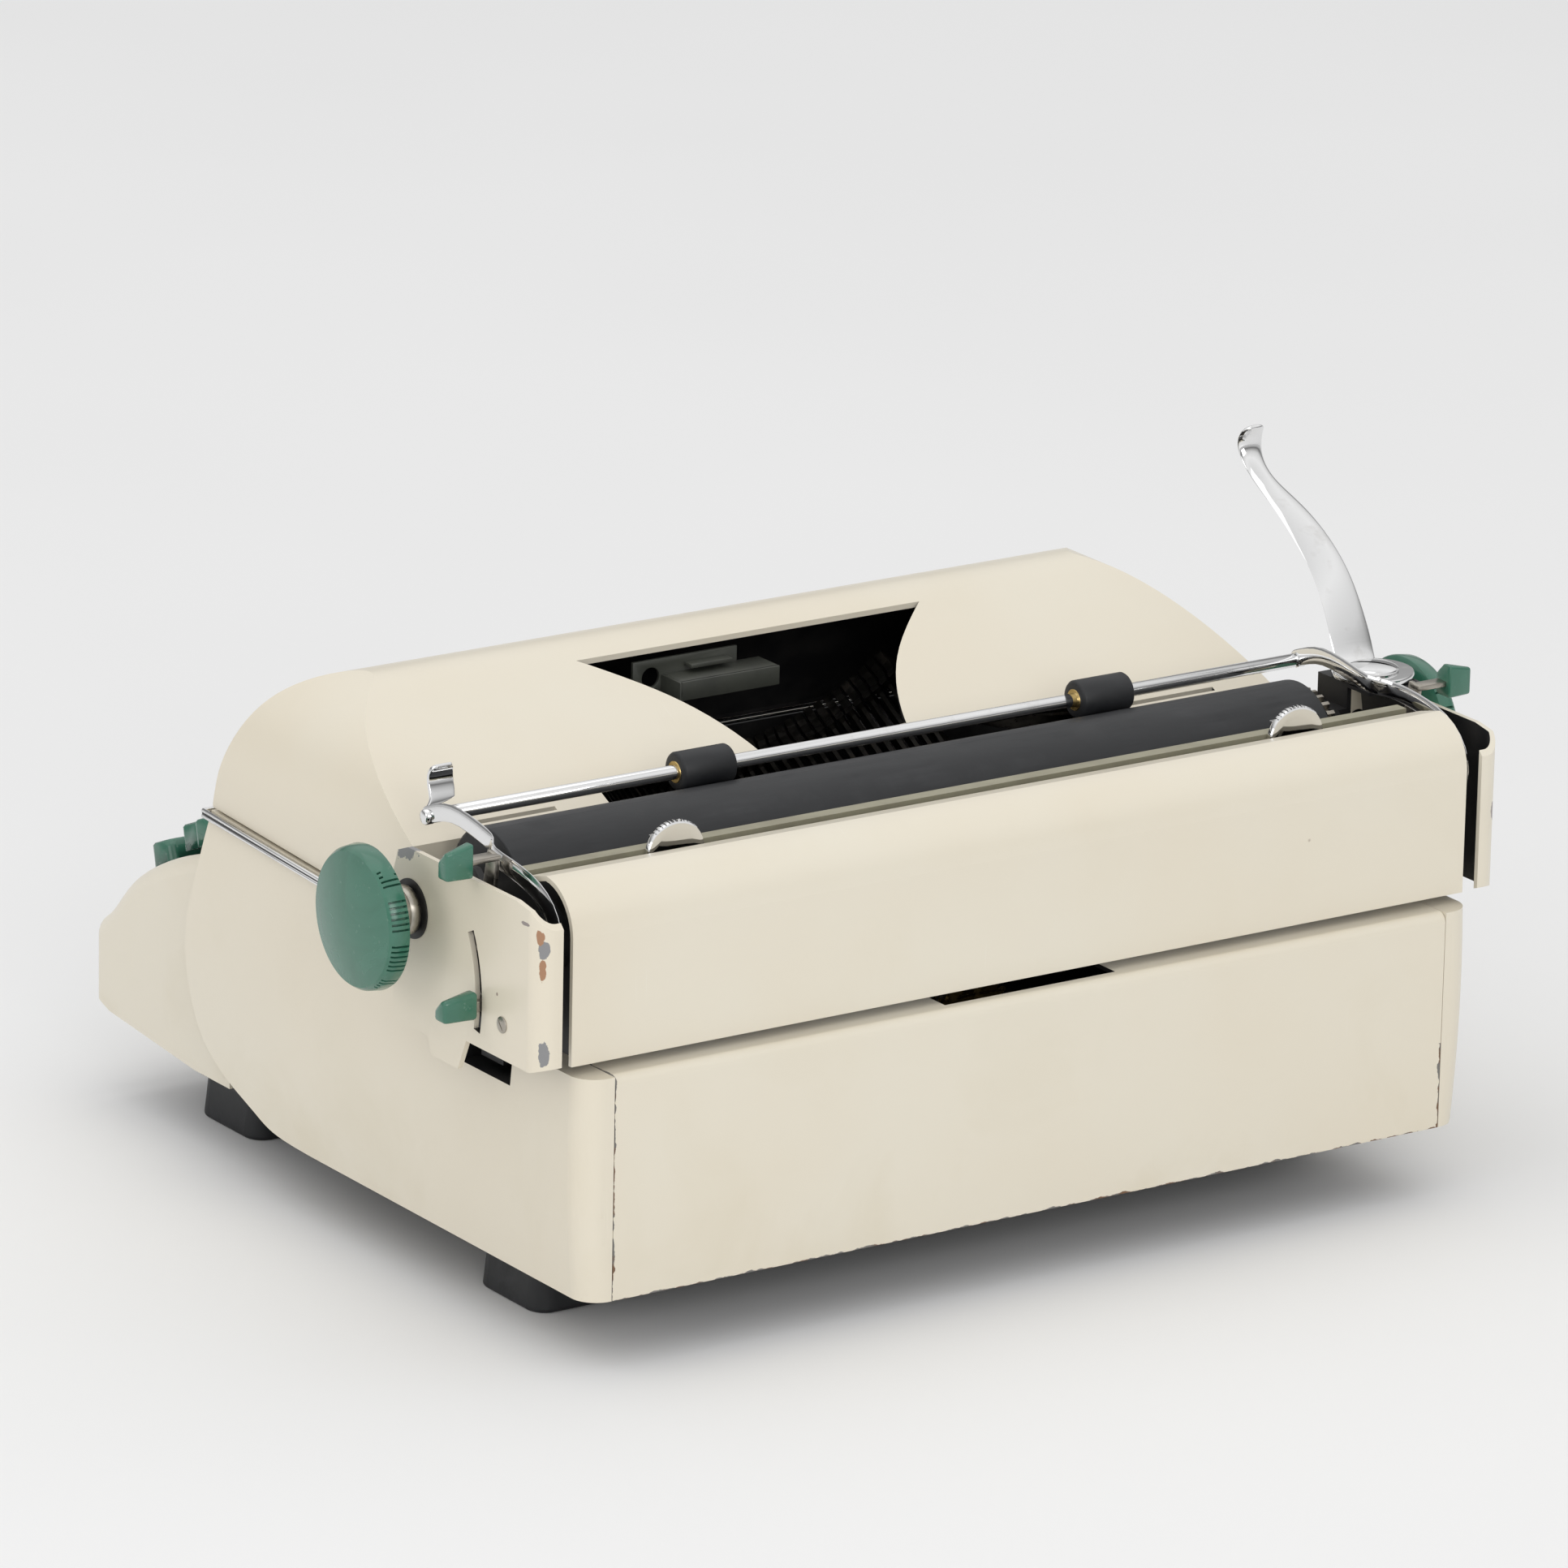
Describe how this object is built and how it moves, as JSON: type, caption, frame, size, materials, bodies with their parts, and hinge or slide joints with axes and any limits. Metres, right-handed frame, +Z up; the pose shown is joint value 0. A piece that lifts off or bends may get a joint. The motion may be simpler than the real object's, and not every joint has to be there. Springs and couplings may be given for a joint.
{
  "type": "typewriter",
  "caption": "Portable manual typewriter with a sliding carriage, rubber platen, hinged hood, four-row keyboard and enamelled steel casing.",
  "frame": {"origin": "on the surface it stands on, under the middle of its overall box", "axes": "+X to the operator's right, +Y to the rear, +Z up"},
  "size_m": [0.362, 0.274, 0.1924],
  "materials": {
    "enamel": "warm cream gloss enamel on pressed steel, chipped to grey primer and rust brown at the edges",
    "green_plastic": "glossy moulded green plastic",
    "chrome": "bright chrome plate, lightly scratched",
    "black_rubber": "aged black rubber",
    "olive_metal": "satin olive grey paint",
    "dark_metal": "semi-matt black paint",
    "plain_steel": "plain steel with a thin film of old oil",
    "brass": "dull brass"
  },
  "bodies": {
    "frame": {"rubber_feet": "black_rubber", "base_pan": "dark_metal", "rear_panel": "enamel", "side_cover_left": "enamel", "side_cover_right": "enamel", "keyboard_housing": "enamel", "trim_beads": "chrome", "side_frames": "plain_steel", "key_lever_rod": "plain_steel", "carriage_rail": "plain_steel", "type_segment": "plain_steel", "type_bars": "plain_steel", "ribbon_cups": "dark_metal", "type_guide": "dark_metal", "escapement_bracket": "plain_steel", "bell": "plain_steel"},
    "hood": {"hood_shell": "enamel"},
    "carriage": {"carriage_frame": "dark_metal", "carriage_rack": "plain_steel", "end_plate_left": "enamel", "end_plate_right": "enamel", "rear_cover": "enamel", "margin_rail": "olive_metal", "paper_tray": "dark_metal", "carriage_screws": "chrome"},
    "platen": {"platen_roller": "black_rubber", "platen_shaft": "plain_steel", "knob_left": "green_plastic", "knob_right": "green_plastic"},
    "front_feed_roller": {"feed_roller_front": "black_rubber"},
    "rear_feed_roller": {"feed_roller_rear": "black_rubber"},
    "bail": {"bail_bar": "chrome", "bail_arms": "chrome"},
    "right_bail_roller": {"bail_roller_right": "black_rubber"},
    "left_bail_roller": {"bail_roller_left": "black_rubber"},
    "line_lever": {"return_lever": "chrome"},
    "right_margin_stop": {"margin_stop_right": "chrome"},
    "left_margin_stop": {"margin_stop_left": "chrome"},
    "right_release": {"carriage_release_right": "green_plastic"},
    "left_release": {"carriage_release_left": "green_plastic"},
    "paper_lever": {"paper_release": "green_plastic"},
    "centre_key": {"centre_letter_key": "green_plastic"},
    "swinging_bar": {"middle_type_bar": "plain_steel"},
    "vibrator": {"ribbon_vibrator": "plain_steel"},
    "left_spool": {"ribbon_spool_left": "plain_steel"},
    "right_spool": {"ribbon_spool_right": "plain_steel"},
    "escape_wheel": {"escapement_wheel": "brass"},
    "spring_drum": {"mainspring_drum": "plain_steel"},
    "key_row_1": {"key_row_1": "green_plastic"},
    "key_row_2": {"key_row_2": "green_plastic"},
    "key_row_3": {"key_row_3": "green_plastic"},
    "key_row_4": {"key_row_4": "green_plastic"},
    "shift_keys": {"shift_keys": "green_plastic"},
    "shift_lock_key": {"shift_lock_key": "green_plastic"},
    "tabulator_key": {"tabulator_key": "green_plastic"},
    "margin_release_key": {"margin_release_key": "green_plastic"},
    "paragraph_key": {"paragraph_key": "green_plastic"},
    "ribbon_reverse_key": {"ribbon_reverse_key": "green_plastic"},
    "backspace_key": {"backspace_key": "green_plastic"},
    "space_bar": {"space_bar": "green_plastic"}
  },
  "joints": [
    {"name": "hood_hinge", "type": "hinge", "parent": "frame", "child": "hood", "pos_m": [0, -0.057, 0.107], "axis": [1, 0, 0], "range_deg": [0, 75]},
    {"name": "carriage_slide", "type": "slide", "parent": "frame", "child": "carriage", "axis": [1, 0, 0], "range_m": [-0.11, 0.11]},
    {"name": "platen_turn", "type": "hinge", "parent": "carriage", "child": "platen", "pos_m": [0, 0.069, 0.1149], "axis": [1, 0, 0], "continuous": true},
    {"name": "front_feed_turn", "type": "hinge", "parent": "carriage", "child": "front_feed_roller", "pos_m": [0, 0.0543, 0.0974], "axis": [1, 0, 0], "continuous": true},
    {"name": "rear_feed_turn", "type": "hinge", "parent": "carriage", "child": "rear_feed_roller", "pos_m": [0, 0.073, 0.0923], "axis": [1, 0, 0], "continuous": true},
    {"name": "bail_lift", "type": "hinge", "parent": "carriage", "child": "bail", "pos_m": [0, 0.12, 0.112], "axis": [-1, 0, 0], "range_deg": [0, 35]},
    {"name": "right_bail_roller_turn", "type": "hinge", "parent": "bail", "child": "right_bail_roller", "pos_m": [0.0575, 0.0547, 0.1346], "axis": [1, 0, 0], "continuous": true},
    {"name": "left_bail_roller_turn", "type": "hinge", "parent": "bail", "child": "left_bail_roller", "pos_m": [-0.0765, 0.0547, 0.1346], "axis": [1, 0, 0], "continuous": true},
    {"name": "line_lever_swing", "type": "hinge", "parent": "carriage", "child": "line_lever", "pos_m": [-0.158, 0.074, 0.134], "axis": [0, 0, 1], "range_deg": [0, 25], "stiffness_Nm_per_rad": 0.2, "springref_deg": -17.19},
    {"name": "right_margin_slide", "type": "slide", "parent": "carriage", "child": "right_margin_stop", "axis": [1, 0, 0], "range_m": [-0.08, 0.03]},
    {"name": "left_margin_slide", "type": "slide", "parent": "carriage", "child": "left_margin_stop", "axis": [1, 0, 0], "range_m": [-0.025, 0.1]},
    {"name": "right_release_pull", "type": "hinge", "parent": "carriage", "child": "right_release", "pos_m": [0.153, 0.094, 0.112], "axis": [1, 0, 0], "range_deg": [0, 12], "stiffness_Nm_per_rad": 0.2, "springref_deg": -11.46},
    {"name": "left_release_pull", "type": "hinge", "parent": "carriage", "child": "left_release", "pos_m": [-0.153, 0.094, 0.112], "axis": [1, 0, 0], "range_deg": [0, 12], "stiffness_Nm_per_rad": 0.2, "springref_deg": -11.46},
    {"name": "paper_release_lift", "type": "hinge", "parent": "carriage", "child": "paper_lever", "pos_m": [0.154, 0.06, 0.098], "axis": [1, 0, 0], "range_deg": [0, 20]},
    {"name": "key_row_1_press", "type": "hinge", "parent": "frame", "child": "key_row_1", "pos_m": [0, 0.066, 0.032], "axis": [1, 0, 0], "range_deg": [0, 2.6], "stiffness_Nm_per_rad": 3, "springref_deg": -5.73},
    {"name": "key_row_2_press", "type": "hinge", "parent": "frame", "child": "key_row_2", "pos_m": [0, 0.066, 0.032], "axis": [1, 0, 0], "range_deg": [0, 2.6], "stiffness_Nm_per_rad": 3, "springref_deg": -5.73},
    {"name": "key_row_3_press", "type": "hinge", "parent": "frame", "child": "key_row_3", "pos_m": [0, 0.066, 0.032], "axis": [1, 0, 0], "range_deg": [0, 2.1], "stiffness_Nm_per_rad": 3, "springref_deg": -5.73},
    {"name": "key_row_4_press", "type": "hinge", "parent": "frame", "child": "key_row_4", "pos_m": [0, 0.066, 0.032], "axis": [1, 0, 0], "range_deg": [0, 2.1], "stiffness_Nm_per_rad": 3, "springref_deg": -5.73},
    {"name": "shift_keys_press", "type": "hinge", "parent": "frame", "child": "shift_keys", "pos_m": [0, 0.066, 0.032], "axis": [1, 0, 0], "range_deg": [0, 2.6], "stiffness_Nm_per_rad": 1, "springref_deg": -5.73},
    {"name": "shift_lock_key_press", "type": "hinge", "parent": "frame", "child": "shift_lock_key", "pos_m": [0, 0.066, 0.032], "axis": [1, 0, 0], "range_deg": [0, 2.6], "stiffness_Nm_per_rad": 1, "springref_deg": -5.73},
    {"name": "tabulator_key_press", "type": "hinge", "parent": "frame", "child": "tabulator_key", "pos_m": [0, 0.066, 0.032], "axis": [1, 0, 0], "range_deg": [0, 2.6], "stiffness_Nm_per_rad": 1, "springref_deg": -5.73},
    {"name": "margin_release_key_press", "type": "hinge", "parent": "frame", "child": "margin_release_key", "pos_m": [0, 0.066, 0.032], "axis": [1, 0, 0], "range_deg": [0, 2.1], "stiffness_Nm_per_rad": 1, "springref_deg": -5.73},
    {"name": "paragraph_key_press", "type": "hinge", "parent": "frame", "child": "paragraph_key", "pos_m": [0, 0.066, 0.032], "axis": [1, 0, 0], "range_deg": [0, 2.1], "stiffness_Nm_per_rad": 1, "springref_deg": -5.73},
    {"name": "ribbon_reverse_key_press", "type": "hinge", "parent": "frame", "child": "ribbon_reverse_key", "pos_m": [0, 0.066, 0.032], "axis": [1, 0, 0], "range_deg": [0, 2.1], "stiffness_Nm_per_rad": 1, "springref_deg": -5.73},
    {"name": "backspace_key_press", "type": "hinge", "parent": "frame", "child": "backspace_key", "pos_m": [0, 0.066, 0.032], "axis": [1, 0, 0], "range_deg": [0, 2.1], "stiffness_Nm_per_rad": 1, "springref_deg": -5.73},
    {"name": "space_bar_press", "type": "hinge", "parent": "frame", "child": "space_bar", "pos_m": [0, 0.066, 0.032], "axis": [1, 0, 0], "range_deg": [0, 2.1], "stiffness_Nm_per_rad": 1, "springref_deg": -5.73},
    {"name": "centre_key_press", "type": "hinge", "parent": "frame", "child": "centre_key", "pos_m": [0, 0.066, 0.032], "axis": [1, 0, 0], "range_deg": [0, 2.6], "stiffness_Nm_per_rad": 1, "springref_deg": -5.73},
    {"name": "type_bar_swing", "type": "hinge", "parent": "frame", "child": "swinging_bar", "pos_m": [0, 0.0193, 0.06511], "axis": [-1, 0, 0], "range_deg": [0, 84.5]},
    {"name": "vibrator_rise", "type": "slide", "parent": "frame", "child": "vibrator", "axis": [0, 0, 1], "range_m": [0, 0.0061]},
    {"name": "left_spool_turn", "type": "hinge", "parent": "frame", "child": "left_spool", "pos_m": [-0.097, -0.006, 0.11], "axis": [0, 0, 1], "continuous": true},
    {"name": "right_spool_turn", "type": "hinge", "parent": "frame", "child": "right_spool", "pos_m": [0.097, -0.006, 0.11], "axis": [0, 0, 1], "continuous": true},
    {"name": "escape_wheel_turn", "type": "hinge", "parent": "frame", "child": "escape_wheel", "pos_m": [0, 0.1, 0.0676], "axis": [0, 1, 0], "range_deg": [-790, 790]},
    {"name": "spring_drum_turn", "type": "hinge", "parent": "frame", "child": "spring_drum", "pos_m": [-0.1, 0.116, 0.056], "axis": [0, 0, 1], "range_deg": [-352, 352]}
  ],
  "couplings": [
    {"joint": "front_feed_turn", "follows": "platen_turn", "ratio": -4.625},
    {"joint": "rear_feed_turn", "follows": "platen_turn", "ratio": -4.625},
    {"joint": "type_bar_swing", "follows": "centre_key_press", "ratio": 32.3},
    {"joint": "vibrator_rise", "follows": "centre_key_press", "m_per_rad": 0.132},
    {"joint": "right_spool_turn", "follows": "left_spool_turn", "ratio": 1},
    {"joint": "escape_wheel_turn", "follows": "carriage_slide", "rad_per_m": 125},
    {"joint": "spring_drum_turn", "follows": "carriage_slide", "rad_per_m": 55.56}
  ]
}
